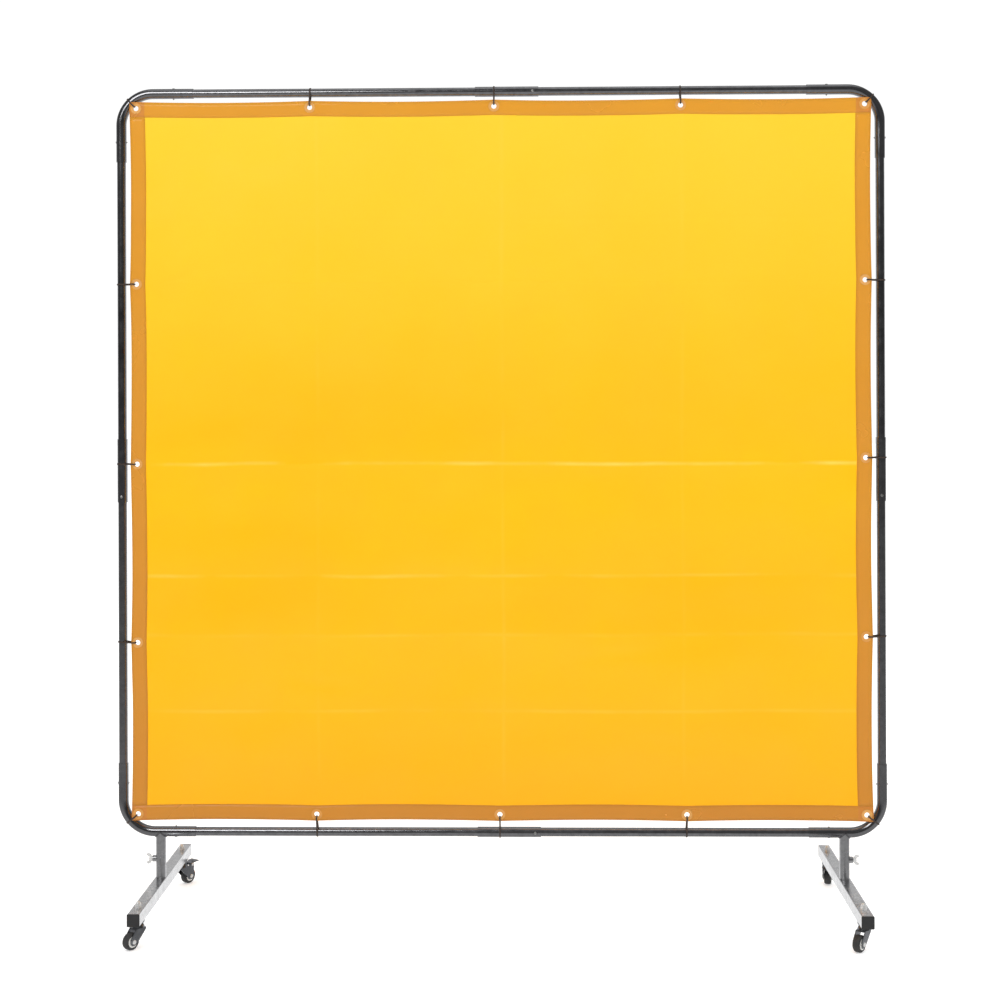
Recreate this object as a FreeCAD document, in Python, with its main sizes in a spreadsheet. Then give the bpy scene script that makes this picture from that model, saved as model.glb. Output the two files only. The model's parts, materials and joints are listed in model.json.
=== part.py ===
import FreeCAD, Part
import math
import os
import re
import Sketcher

# A welding curtain screen on castors: a round-cornered tube frame with a tinted vinyl curtain lashed
# into it, standing on two square-tube feet. Millimetres, +Z up, the curtain faces -Y, and the origin
# lies on the floor under the middle of the frame.

SIZES = (
    ("tube_dia", 22.0, "straight frame tube, outside"),
    ("socket_dia", 25.4, "corner tubes, sleeves and posts, outside"),
    ("wall", 1.5, "wall of every round tube"),
    ("frame_wide", 1896.0, "frame, between the tube centre lines"),
    ("frame_tall", 1850.0, "frame, between the tube centre lines"),
    ("frame_low", 208.0, "height of the bottom tube's centre line"),
    ("bend_radius", 80.0, "corner bend, on the centre line"),
    ("leg_across", 182.0, "centre-line corner to the end of a corner tube's level leg"),
    ("leg_upright", 171.0, "centre-line corner to the end of a corner tube's upright leg"),
    ("socket_depth", 72.0, "straight tube inside a corner leg"),
    ("sleeve_long", 158.0, "coupling sleeve"),
    ("sleeve_shift", 20.0, "sleeve centre, to the right of or below the middle of its side"),
    ("tube_gap", 1.0, "tube end to the middle of its sleeve"),
    ("screw_dia", 3.5, "self-tapping screw"),
    ("screw_hole", 3.6, "hole for a self-tapping screw"),
    ("screw_head_dia", 7.0, "low dome head"),
    ("screw_head_tall", 1.4, "low dome head"),
    ("screw_tip", 3.0, "screw standing out of the far wall"),
    ("screw_inset", 50.0, "corner leg's end to its screw"),
    ("sleeve_screw_inset", 14.0, "sleeve's end to its screw"),
    ("post_spread", 1708.0, "between the posts' axes"),
    ("weld_gap", 0.1, "saddle cut over the tube it is welded to, on the diameter"),
    ("bar_size", 30.0, "foot bar, square"),
    ("bar_wall", 2.0, "foot bar"),
    ("bar_round", 2.5, "foot bar's outer corner radius"),
    ("bar_long", 594.0, "foot bar without its end plugs"),
    ("bar_top", 94.0, "height of the foot bar's top face"),
    ("plug_flange", 3.0, "end plug outside the bar"),
    ("plug_insert", 12.0, "end plug inside the bar"),
    ("plug_play", 0.1, "end plug to the bar's inner wall"),
    ("stub_tall", 86.0, "stub tube standing on the foot bar"),
    ("wing_high", 140.0, "height of the wing bolt's axis"),
    ("bolt_dia", 8.0, "wing bolt"),
    ("bolt_hole", 8.16, "threaded hole for the wing bolt"),
    ("nut_dia", 16.0, "welded nut on a post"),
    ("nut_long", 8.0, "welded nut, outside the post"),
    ("castor_spread", 492.0, "between the two stems of a foot bar"),
    ("stem_dia", 8.0, "castor stem"),
    ("stem_hole", 8.2, "hole for a castor stem"),
    ("stem_top", 101.0, "height of the stem's upper end"),
    ("trail", 23.0, "stem axis to wheel axle"),
    ("wheel_dia", 40.0, "tyre, outside"),
    ("wheel_wide", 18.0, "tyre"),
    ("hub_dia", 27.0, "hub, outside"),
    ("axle_dia", 6.0, "wheel axle"),
    ("axle_hole", 6.12, "bore that the axle runs in"),
    ("fork_wide", 25.0, "fork, outside its two cheeks"),
    ("fork_slot", 21.0, "fork, between its two cheeks"),
    ("fork_top", 56.3, "height of the fork's upper race"),
    ("fork_plate", 45.5, "height of the underside of the fork's plate"),
    ("pin_dia", 4.0, "brake pedal's pin"),
    ("pin_hole", 4.12, "bore that the pedal turns on"),
    ("pin_out", 27.0, "stem axis to the pedal's pin"),
    ("pin_high", 50.0, "height of the pedal's pin"),
    ("pedal_wide", 26.0, "tread of the brake pedal"),
    ("pedal_neck", 20.0, "pedal between the fork's ears"),
    ("curtain_wide", 1848.0, "curtain, edge to edge"),
    ("curtain_low", 239.0, "height of the curtain's bottom edge"),
    ("curtain_top", 2036.0, "height of the curtain's top edge"),
    ("curtain_thick", 1.0, "vinyl panel"),
    ("curtain_fore", 14.5, "curtain's middle plane, in front of the frame's"),
    ("hem_wide", 38.0, "hem strip, doubled over the panel's edge"),
    ("hem_thick", 3.0, "hem strip with the panel inside"),
    ("hem_fold", 1.5, "hem strip's fold, outside the panel's edge"),
    ("hem_round", 4.0, "curtain's four corners"),
    ("eyelet_inset", 16.5, "curtain's edge to the eyelets' centres"),
    ("eyelet_hole", 13.0, "eyelet, inside"),
    ("eyelet_neck", 15.0, "eyelet's barrel, outside"),
    ("eyelet_play", 15.1, "hole in the vinyl for an eyelet"),
    ("eyelet_dia", 27.0, "eyelet's flange"),
    ("eyelet_flange", 1.2, "eyelet's flange, on each face"),
    ("tie_wide", 3.6, "cable tie's strap"),
    ("tie_thick", 1.3, "cable tie's strap"),
    ("tie_play", 0.3, "strap to what it goes round"),
)

# Eyelets between the corners, hand punched: distances along each edge from the origin.
TOP_EYELETS = (-472.0, -12.0, 452.0)
BOTTOM_EYELETS = (-460.0, -3.0, 462.0)
LEFT_EYELETS = (684.0, 1130.0, 1580.0)
RIGHT_EYELETS = (698.0, 1142.0, 1583.0)

# Castors: name, side of the frame, end of the foot bar, resting trail direction in degrees, brake.
CASTORS = (
    ("front_left", -1, -1, 233.0, False),
    ("front_right", 1, -1, 232.0, False),
    ("rear_left", -1, 1, 56.5, True),
    ("rear_right", 1, 1, 77.0, True),
)

X_AXIS = FreeCAD.Vector(1, 0, 0)
Y_AXIS = FreeCAD.Vector(0, 1, 0)
Z_AXIS = FreeCAD.Vector(0, 0, 1)
ORIGIN = FreeCAD.Vector(0, 0, 0)

doc = FreeCAD.newDocument("welding_screen")
sheet = doc.addObject("Spreadsheet::Sheet", "Sizes")
for row, (alias, number, meaning) in enumerate(SIZES, start=1):
    sheet.set(f"A{row}", meaning)
    sheet.set(f"B{row}", str(number))
    sheet.setAlias(f"B{row}", alias)
doc.recompute()

size = {alias: float(sheet.get(alias)) for alias, number, meaning in SIZES}
nodes = []


def formula(words):
    """Point every size named in a formula at its cell."""
    return re.sub(r"[a-z]+_[a-z_]+|\bwall\b|\btrail\b", lambda found: "Sizes." + found.group(0), words)


def bind(thing, field, words):
    thing.setExpression(field, formula(words))


def place(thing, position, axis=Z_AXIS, degrees=0.0):
    thing.Placement = FreeCAD.Placement(position, FreeCAD.Rotation(axis, degrees))


# Sketches -------------------------------------------------------------------------------------

def new_body(name, is_node=True):
    body = doc.addObject("PartDesign::Body", name)
    body.Label = name
    if is_node:
        nodes.append(body)
    return body


def new_sketch(body, role, name, offset=None):
    sketch = body.newObject("Sketcher::SketchObject", name)
    plane = [item for item in body.Origin.OriginFeatures if item.Role == role][0]
    sketch.AttachmentSupport = (plane, [""])
    sketch.MapMode = "FlatFace"
    if offset:
        bind(sketch, ".AttachmentOffset.Base.z", offset)
    return sketch


def fix_point(sketch, shape, end, across, up):
    """Tie one point of a sketch to its two distances from the sketch's origin."""
    for kind, axis, words in (("DistanceX", -2, across), ("DistanceY", -1, up)):
        if words == "0":
            sketch.addConstraint(Sketcher.Constraint("PointOnObject", shape, end, axis))
        else:
            index = sketch.addConstraint(Sketcher.Constraint(kind, -1, 1, shape, end, 1.0))
            name = f"{kind}_{shape}_{end}"
            sketch.renameConstraint(index, name)
            bind(sketch, "Constraints." + name, words)


def circle(sketch, diameter, across="0", up="0"):
    index = sketch.addGeometry(Part.Circle(FreeCAD.Vector(1, 1, 0), Z_AXIS, 1.0), False)
    fix_point(sketch, index, 3, across, up)
    constraint = sketch.addConstraint(Sketcher.Constraint("Diameter", index, 2.0))
    sketch.renameConstraint(constraint, f"diameter_{index}")
    bind(sketch, f"Constraints.diameter_{index}", diameter)


def outline(sketch, corners):
    """Closed outline through corners, each a pair of formulas."""
    first = sketch.GeometryCount
    count = len(corners)
    for step in range(count):
        here = 2 * math.pi * step / count
        there = 2 * math.pi * (step + 1) / count
        start = FreeCAD.Vector(math.cos(here), math.sin(here), 0)
        end = FreeCAD.Vector(math.cos(there), math.sin(there), 0)
        sketch.addGeometry(Part.LineSegment(start, end), False)
    for step, (across, up) in enumerate(corners):
        following = first + (step + 1) % count
        sketch.addConstraint(Sketcher.Constraint("Coincident", first + step, 2, following, 1))
        fix_point(sketch, first + step, 1, across, up)


def rectangle(sketch, left, right, low, high):
    outline(sketch, ((left, low), (right, low), (right, high), (left, high)))


# Features -------------------------------------------------------------------------------------

def pad(body, sketch, length, symmetric=False):
    feature = body.newObject("PartDesign::Pad", "pad")
    feature.Profile = sketch
    feature.SideType = "Symmetric" if symmetric else "One side"
    bind(feature, "Length", length)
    return feature


def pocket(body, sketch, length=None, symmetric=True):
    feature = body.newObject("PartDesign::Pocket", "pocket")
    feature.Profile = sketch
    feature.SideType = "Symmetric" if symmetric else "One side"
    if length:
        bind(feature, "Length", length)
    else:
        feature.Type = "ThroughAll"
    return feature


def revolve(body, corners, name="profile"):
    """Turn an outline, given as radius and height, about the body's Z axis."""
    sketch = new_sketch(body, "XZ_Plane", name)
    outline(sketch, corners)
    feature = body.newObject("PartDesign::Revolution", "turned")
    feature.Profile = sketch
    feature.ReferenceAxis = (sketch, ["V_Axis"])
    feature.Angle = 360
    return feature


def drill(body, role, diameter, across="0", up="0", symmetric=True):
    sketch = new_sketch(body, role, "hole")
    circle(sketch, diameter, across, up)
    return pocket(body, sketch, symmetric=symmetric)


def round_edges(body, feature, radius, wanted):
    """Fillet the edges of the feature that wanted() picks."""
    doc.recompute()
    names = [f"Edge{index}" for index, edge in enumerate(feature.Shape.Edges, start=1) if wanted(edge)]
    fillet = body.newObject("PartDesign::Fillet", "rounded")
    fillet.Base = (feature, names)
    bind(fillet, "Radius", radius)
    return fillet


def runs_along(edge, axis):
    """True for a straight edge parallel to the axis."""
    if not isinstance(edge.Curve, Part.Line):
        return False
    return abs(edge.Curve.Direction.dot(axis)) > 0.999


def group(name, master, placements):
    """One node that holds a copy of the master's solid at each placement."""
    doc.recompute()
    copies = []
    for placement in placements:
        copy = master.Shape.copy()
        copy.Placement = placement.multiply(copy.Placement)
        copies.append(copy)
    node = doc.addObject("Part::Feature", name)
    node.Label = name
    node.Shape = Part.makeCompound(copies)
    nodes.append(node)
    return node


# Frame ----------------------------------------------------------------------------------------

def tube(name, diameter, length, is_node=True):
    """Round tube standing on the body's XY plane."""
    body = new_body(name, is_node)
    sketch = new_sketch(body, "XY_Plane", "ring")
    circle(sketch, diameter)
    circle(sketch, f"{diameter} - 2 * wall")
    pad(body, sketch, length)
    return body


def corner_tube(name, turn):
    """Bent socket tube; unturned, its legs run down and to the right of the corner."""
    upright_first = turn in (0, 180)
    first_leg, second_leg = ("leg_upright", "leg_across") if upright_first else ("leg_across", "leg_upright")
    first = size[first_leg]
    second = size[second_leg]
    bend = size["bend_radius"]
    body = new_body(name)
    spine = new_sketch(body, "XZ_Plane", "spine")
    spine.addGeometry(Part.LineSegment(FreeCAD.Vector(0, -first, 0), FreeCAD.Vector(0, -bend, 0)), False)
    spine.addGeometry(Part.LineSegment(FreeCAD.Vector(bend, 0, 0), FreeCAD.Vector(second, 0, 0)), False)
    arc = Part.Circle(FreeCAD.Vector(bend, -bend, 0), Z_AXIS, bend)
    spine.addGeometry(Part.ArcOfCircle(arc, math.pi / 2, math.pi), False)
    spine.addConstraint(Sketcher.Constraint("PointOnObject", 0, 1, -2))
    spine.addConstraint(Sketcher.Constraint("PointOnObject", 0, 2, -2))
    spine.addConstraint(Sketcher.Constraint("PointOnObject", 1, 1, -1))
    spine.addConstraint(Sketcher.Constraint("PointOnObject", 1, 2, -1))
    spine.addConstraint(Sketcher.Constraint("Tangent", 0, 2, 2, 2))
    spine.addConstraint(Sketcher.Constraint("Tangent", 1, 1, 2, 1))
    ends = (("DistanceY", 0, 1, -first, "-" + first_leg), ("DistanceX", 1, 2, second, second_leg))
    for kind, line, end, value, words in ends:
        index = spine.addConstraint(Sketcher.Constraint(kind, -1, 1, line, end, value))
        spine.renameConstraint(index, f"leg_{line}")
        bind(spine, f"Constraints.leg_{line}", words)
    index = spine.addConstraint(Sketcher.Constraint("Radius", 2, bend))
    spine.renameConstraint(index, "bend")
    bind(spine, "Constraints.bend", "bend_radius")
    ring = new_sketch(body, "XY_Plane", "ring", "-" + first_leg)
    circle(ring, "socket_dia")
    circle(ring, "socket_dia - 2 * wall")
    pipe = body.newObject("PartDesign::AdditivePipe", "bent_tube")
    pipe.Profile = ring
    pipe.Spine = spine
    doc.recompute()
    drill(body, "YZ_Plane", "screw_hole", "0", "screw_inset - " + first_leg)
    drill(body, "XY_Plane", "screw_hole", second_leg + " - screw_inset", "0")
    place(body, ORIGIN, Y_AXIS, turn)
    side = -1 if turn in (0, 270) else 1
    bind_corner(body, side, top=turn in (0, 90))
    return body


def bind_corner(body, side, top):
    bind(body, ".Placement.Base.x", f"{side} * frame_wide / 2")
    bind(body, ".Placement.Base.z", "frame_low + frame_tall" if top else "frame_low")


def straight_tube(name, inner_end, shift, turn, across, up, has_sleeve_screw):
    """Frame tube from inside a corner socket to the middle of a sleeve."""
    length = f"{inner_end} + socket_depth {shift} sleeve_shift - tube_gap"
    body = tube(name, "tube_dia", length)
    drill(body, "YZ_Plane", "screw_hole", "0", "socket_depth - screw_inset")
    if has_sleeve_screw:
        inset = f"{length} + tube_gap - sleeve_long / 2 + sleeve_screw_inset"
        drill(body, "XZ_Plane", "screw_hole", "0", inset)
    place(body, ORIGIN, Y_AXIS, turn)
    bind(body, ".Placement.Base.x", across)
    bind(body, ".Placement.Base.z", up)
    return body


def sleeve(name, turn, across, up):
    """Coupling sleeve whose screw is at its upper local end."""
    body = tube(name, "socket_dia", "sleeve_long")
    drill(body, "XZ_Plane", "screw_hole", "0", "sleeve_long - sleeve_screw_inset")
    place(body, ORIGIN, Y_AXIS, turn)
    bind(body, ".Placement.Base.x", across)
    bind(body, ".Placement.Base.z", up)
    return body


for corner_name, corner_turn in (("top_left", 0), ("top_right", 90), ("bottom_right", 180), ("bottom_left", 270)):
    corner_tube("corner_tube_" + corner_name, corner_turn)

HALF_ACROSS = "frame_wide / 2 - leg_across"
HALF_UPRIGHT = "frame_tall / 2 - leg_upright"
FRAME_END = "(frame_wide / 2 - leg_across + socket_depth)"
FRAME_FOOT = "frame_low + leg_upright - socket_depth"
FRAME_HEAD = "frame_low + frame_tall - leg_upright + socket_depth"
for level, height in (("top", "frame_low + frame_tall"), ("bottom", "frame_low")):
    straight_tube(level + "_tube_left", HALF_ACROSS, "+", 90, "-" + FRAME_END, height, False)
    straight_tube(level + "_tube_right", HALF_ACROSS, "-", -90, FRAME_END, height, True)
    sleeve(level + "_sleeve", 90, "sleeve_shift - sleeve_long / 2", height)
SLEEVE_HEAD = "frame_low + frame_tall / 2 - sleeve_shift + sleeve_long / 2"
for side_name, side in (("left", -1), ("right", 1)):
    edge_x = f"{side} * frame_wide / 2"
    straight_tube(side_name + "_tube_upper", HALF_UPRIGHT, "+", 180, edge_x, FRAME_HEAD, False)
    straight_tube(side_name + "_tube_lower", HALF_UPRIGHT, "-", 0, edge_x, FRAME_FOOT, True)
    sleeve(side_name + "_sleeve", 180, edge_x, SLEEVE_HEAD)


def screw():
    """Self-tapping screw along Z through a tube centred on the origin, its low dome head up."""
    body = new_body("screw", is_node=False)
    seat = "socket_dia / 2"
    revolve(body, (
        ("0", f"-{seat} - screw_tip"),
        ("screw_dia / 2", f"1 - {seat} - screw_tip"),
        ("screw_dia / 2", seat),
        ("screw_head_dia / 2", seat),
        ("screw_head_dia / 2 - 0.6", f"{seat} + screw_head_tall * 0.7"),
        ("screw_dia / 2", f"{seat} + screw_head_tall"),
        ("0", f"{seat} + screw_head_tall"),
    ))
    return body


def corner_screw_places():
    half_wide = size["frame_wide"] / 2
    reach_up = size["leg_upright"] - size["screw_inset"]
    reach_across = size["leg_across"] - size["screw_inset"]
    high = size["frame_low"] + size["frame_tall"]
    low = size["frame_low"]
    places = []
    for side in (-1, 1):
        outward = FreeCAD.Rotation(Y_AXIS, side * 90)
        for height in (low + reach_up, high - reach_up):
            places.append(FreeCAD.Placement(FreeCAD.Vector(side * half_wide, 0, height), outward))
        across = side * (half_wide - reach_across)
        places.append(FreeCAD.Placement(FreeCAD.Vector(across, 0, high), FreeCAD.Rotation()))
        places.append(FreeCAD.Placement(FreeCAD.Vector(across, 0, low), FreeCAD.Rotation(X_AXIS, 180)))
    return places


def sleeve_screw_places():
    reach = size["sleeve_long"] / 2 - size["sleeve_screw_inset"]
    across = size["sleeve_shift"] + reach
    height = size["frame_low"] + size["frame_tall"] / 2 - size["sleeve_shift"] - reach
    half_wide = size["frame_wide"] / 2
    high = size["frame_low"] + size["frame_tall"]
    forward = FreeCAD.Rotation(X_AXIS, 90)
    spots = ((across, high), (across, size["frame_low"]), (-half_wide, height), (half_wide, height))
    return [FreeCAD.Placement(FreeCAD.Vector(x, 0, z), forward) for x, z in spots]


screw_master = screw()
group("corner_screws", screw_master, corner_screw_places())
group("sleeve_screws", screw_master, sleeve_screw_places())


# Posts, feet and wing bolts -------------------------------------------------------------------

def post(name, side):
    """Post under a bottom corner tube, saddled over it, with a hole for its wing bolt."""
    body = tube(name, "socket_dia", "frame_low - bar_top")
    saddle = new_sketch(body, "YZ_Plane", "saddle")
    circle(saddle, "socket_dia + weld_gap", "0", "frame_low - bar_top")
    pocket(body, saddle)
    drill(body, "YZ_Plane", "bolt_hole", "0", "wing_high - bar_top", symmetric=False)
    place(body, ORIGIN, Z_AXIS, 0 if side < 0 else 180)
    bind(body, ".Placement.Base.x", f"{side} * post_spread / 2")
    bind(body, ".Placement.Base.z", "bar_top")
    return body


def foot_bar(name, side):
    body = new_body(name)
    outer = new_sketch(body, "XZ_Plane", "outer")
    rectangle(outer, "-bar_size / 2", "bar_size / 2", "-bar_size / 2", "bar_size / 2")
    solid = pad(body, outer, "bar_long", symmetric=True)
    round_edges(body, solid, "bar_round", lambda edge: runs_along(edge, Y_AXIS))
    doc.recompute()
    inner = new_sketch(body, "XZ_Plane", "inner")
    half_bore = "bar_size / 2 - bar_wall"
    rectangle(inner, f"-({half_bore})", half_bore, f"-({half_bore})", half_bore)
    pocket(body, inner)
    for end in ("-", ""):
        drill(body, "XY_Plane", "stem_hole", "0", f"{end}castor_spread / 2")
    bind(body, ".Placement.Base.x", f"{side} * post_spread / 2")
    bind(body, ".Placement.Base.z", "bar_top - bar_size / 2")
    return body


def foot_stub(name, side):
    body = tube(name, "tube_dia", "stub_tall")
    bind(body, ".Placement.Base.x", f"{side} * post_spread / 2")
    bind(body, ".Placement.Base.z", "bar_top")
    return body


def end_plug():
    """Plug along Y: a bevelled square flange with a hollow square insert behind it."""
    body = new_body("end_plug", is_node=False)
    flange = new_sketch(body, "XZ_Plane", "flange")
    rectangle(flange, "-bar_size / 2", "bar_size / 2", "-bar_size / 2", "bar_size / 2")
    plate = pad(body, flange, "plug_flange")
    rounded = round_edges(body, plate, "bar_round", lambda edge: runs_along(edge, Y_AXIS))
    doc.recompute()
    front = min(vertex.Y for vertex in rounded.Shape.Vertexes)
    round_edges(body, rounded, "plug_flange / 3", lambda edge: abs(edge.BoundBox.YMax - front) < 0.01)
    doc.recompute()
    insert = new_sketch(body, "XZ_Plane", "insert")
    for skins in (1, 2):
        half = f"bar_size / 2 - {skins} * bar_wall - plug_play"
        rectangle(insert, f"-({half})", half, f"-({half})", half)
    barrel = pad(body, insert, "plug_insert")
    barrel.Reversed = True
    return body


for side_name, side in (("left", -1), ("right", 1)):
    post("post_" + side_name, side)
    foot_bar("foot_bar_" + side_name, side)
    foot_stub("foot_stub_" + side_name, side)


def plug_places():
    places = []
    for side in (-1, 1):
        for end in (-1, 1):
            spot = FreeCAD.Vector(side * size["post_spread"] / 2, end * size["bar_long"] / 2,
                                  size["bar_top"] - size["bar_size"] / 2)
            places.append(FreeCAD.Placement(spot, FreeCAD.Rotation(Z_AXIS, 0 if end < 0 else 180)))
    return places


group("foot_end_plugs", end_plug(), plug_places())


def post_nut():
    """Round nut along Z, its inner end saddled on a post that runs along the X axis."""
    body = new_body("post_nut", is_node=False)
    ring = new_sketch(body, "XY_Plane", "ring")
    circle(ring, "nut_dia")
    circle(ring, "bolt_hole")
    pad(body, ring, "socket_dia / 2 + nut_long")
    saddle = new_sketch(body, "YZ_Plane", "saddle")
    circle(saddle, "socket_dia + weld_gap")
    pocket(body, saddle)
    return body


def outward_places():
    """Wing bolt axes: local Z points out of the frame, from each post's axis."""
    places = []
    for side in (-1, 1):
        turn = FreeCAD.Rotation(Z_AXIS, X_AXIS * side)
        spot = FreeCAD.Vector(side * size["post_spread"] / 2, 0, size["wing_high"])
        places.append(FreeCAD.Placement(spot, turn))
    return places


def wing_bolt(name, placement):
    """Bolt along Z from the stub's wall out through post and nut, with two wings on its hub."""
    body = new_body(name)
    hub_foot = "socket_dia / 2 + nut_long + 0.5"
    revolve(body, (
        ("0", "tube_dia / 2 + 0.3"),
        ("bolt_dia / 2", "tube_dia / 2 + 1"),
        ("bolt_dia / 2", hub_foot),
        ("6", hub_foot),
        ("5", f"{hub_foot} + 8"),
        ("3.5", f"{hub_foot} + 9"),
        ("0", f"{hub_foot} + 9"),
    ))
    doc.recompute()
    wings = new_sketch(body, "XZ_Plane", "wings")
    right = (("4", "1.5"), ("11", "5"), ("13.5", "11"), ("12", "15.5"),
             ("8", "15"), ("4.5", "8"))
    left = [("-" + across, up) for across, up in reversed(right)]
    outline(wings, [(across, f"{hub_foot} + {up}") for across, up in list(right) + left])
    plate = pad(body, wings, "3", symmetric=True)
    round_edges(body, plate, "0.8", lambda edge: runs_along(edge, Y_AXIS) and abs(edge.CenterOfMass.x) > 7)
    body.Placement = placement
    return body


wing_left_place, wing_right_place = outward_places()
group("post_nuts", post_nut(), (wing_left_place, wing_right_place))
wing_bolt("wing_bolt_left", wing_left_place)
wing_bolt("wing_bolt_right", wing_right_place)


# Castors --------------------------------------------------------------------------------------

def castor_place(side, end, trail_degrees):
    """Stem axis on the floor; local +X is the direction the wheel trails."""
    spot = FreeCAD.Vector(side * size["post_spread"] / 2, end * size["castor_spread"] / 2, 0)
    return FreeCAD.Placement(spot, FreeCAD.Rotation(Z_AXIS, trail_degrees))


def castor_stem():
    """Threaded stem with its rivet head below the fork and its upper race under the foot bar."""
    body = new_body("castor_stem", is_node=False)
    under_bar = "bar_top - bar_size"
    revolve(body, (
        ("0", "fork_plate - 3"), ("5.5", "fork_plate - 3"), ("6.5", "fork_plate - 2"),
        ("6.5", "fork_plate - 0.3"), ("stem_dia / 2", "fork_plate - 0.3"), ("stem_dia / 2", "fork_top + 0.3"),
        ("11", "fork_top + 0.3"), ("14.5", f"{under_bar} - 4"), ("15", under_bar),
        ("stem_dia / 2", under_bar), ("stem_dia / 2", "stem_top - 0.7"), ("stem_dia / 2 - 0.7", "stem_top"),
        ("0", "stem_top"),
    ))
    return body


def dome_nut():
    """Hexagon nut with a domed cap and a blind bore, seated on Z = 0."""
    body = new_body("dome_nut", is_node=False)
    base = new_sketch(body, "XY_Plane", "hexagon")
    half_flat = 6.5
    corners = []
    for step in range(6):
        angle = math.radians(60 * step)
        reach = half_flat / math.cos(math.radians(30))
        corners.append((reach * math.cos(angle), reach * math.sin(angle)))
    for step, (x, y) in enumerate(corners):
        following = corners[(step + 1) % 6]
        base.addGeometry(Part.LineSegment(FreeCAD.Vector(x, y, 0), FreeCAD.Vector(*following, 0)), False)
    for step in range(6):
        base.addConstraint(Sketcher.Constraint("Coincident", step, 2, (step + 1) % 6, 1))
    pad(body, base, "6.5")
    doc.recompute()
    revolve(body, (("0", "6"), ("6.2", "6"), ("6.2", "8"), ("5.4", "11"), ("3.8", "13.2"), ("1.8", "14.3"),
                   ("0", "14.5")), "cap")
    doc.recompute()
    bore = new_sketch(body, "XY_Plane", "bore")
    circle(bore, "stem_dia + 0.04")
    cut = pocket(body, bore, "stem_top - bar_top + 0.5", symmetric=False)
    cut.Reversed = True
    return body


def castor_fork(name, has_brake, placement):
    """Pressed fork: two cheeks, a plate and a raised race, and ears for the pedal's pin if braked."""
    body = new_body(name)
    side_view = new_sketch(body, "XZ_Plane", "side_view")
    plate_top = "fork_plate + 2.5"
    nose = [("-13", plate_top), ("-13", "fork_plate - 2"), ("15", "13.5"), ("trail - 4", "11.5"),
            ("trail + 5", "11.5"), ("trail + 9", "16"), ("trail + 9", "26")]
    if has_brake:
        ears = [("pin_out + 6", "pin_high - 4"), ("pin_out + 5", "pin_high + 3.5"),
                ("pin_out - 5", "pin_high + 3.5"), ("17", plate_top)]
    else:
        ears = [("20", "fork_plate - 3"), ("16", plate_top)]
    outline(side_view, nose + ears)
    pad(body, side_view, "fork_wide", symmetric=True)
    revolve(body, (("0", plate_top), ("15", plate_top), ("13.5", "fork_top - 3"), ("11.5", "fork_top"),
                   ("0", "fork_top")), "race")
    doc.recompute()
    slot = new_sketch(body, "XZ_Plane", "wheel_slot")
    rectangle(slot, "-30", "60", "-5", "fork_plate")
    pocket(body, slot, "fork_slot")
    if has_brake:
        gap = new_sketch(body, "XZ_Plane", "pedal_gap")
        rectangle(gap, "17", "60", "fork_plate - 1", "70")
        pocket(body, gap, "fork_slot")
        drill(body, "XZ_Plane", "pin_dia", "pin_out", "pin_high")
    drill(body, "XZ_Plane", "axle_dia", "trail", "wheel_dia / 2")
    drill(body, "XY_Plane", "stem_dia + 0.1")
    body.Placement = placement
    return body


def cross_bolt(name, diameter, head, across, up, placement):
    """Headed pin through both cheeks of a fork, along local Y."""
    body = new_body(name)
    inside = "fork_wide / 2"
    revolve(body, (
        ("0", f"-{inside} - 2.5"), (f"{head} / 2 - 0.8", f"-{inside} - 2.5"), (f"{head} / 2", f"-{inside} - 1.7"),
        (f"{head} / 2", f"-{inside}"), (f"{diameter} / 2", f"-{inside}"), (f"{diameter} / 2", inside),
        (f"{head} / 2", inside), (f"{head} / 2", f"{inside} + 1.7"), (f"{head} / 2 - 0.8", f"{inside} + 2.5"),
        ("0", f"{inside} + 2.5"),
    ))
    local = FreeCAD.Placement(FreeCAD.Vector(across, 0, up), FreeCAD.Rotation(X_AXIS, -90))
    body.Placement = placement.multiply(local)
    return body


def wheel_hub(name, placement):
    """Dished hub, thinner between its rim and its boss."""
    body = new_body(name)
    half = "wheel_wide / 2"
    revolve(body, (
        ("axle_hole / 2", f"-{half} - 1"), ("6", f"-{half} - 1"), ("6.5", f"3 - {half}"), ("9.5", f"3 - {half}"),
        ("10.5", f"0.5 - {half}"), ("hub_dia / 2", f"0.5 - {half}"), ("hub_dia / 2", f"{half} - 0.5"),
        ("10.5", f"{half} - 0.5"), ("9.5", f"{half} - 3"), ("6.5", f"{half} - 3"), ("6", f"{half} + 1"),
        ("axle_hole / 2", f"{half} + 1"),
    ))
    body.Placement = placement
    return body


def tyre(name, placement):
    body = new_body(name)
    half = "wheel_wide / 2"
    revolve(body, (
        ("hub_dia / 2", f"-{half}"), ("wheel_dia / 2 - 3", f"-{half}"), ("wheel_dia / 2 - 0.8", f"2 - {half}"),
        ("wheel_dia / 2", f"5 - {half}"), ("wheel_dia / 2", f"{half} - 5"), ("wheel_dia / 2 - 0.8", f"{half} - 2"),
        ("wheel_dia / 2 - 3", half), ("hub_dia / 2", half),
    ))
    body.Placement = placement
    return body


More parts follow.
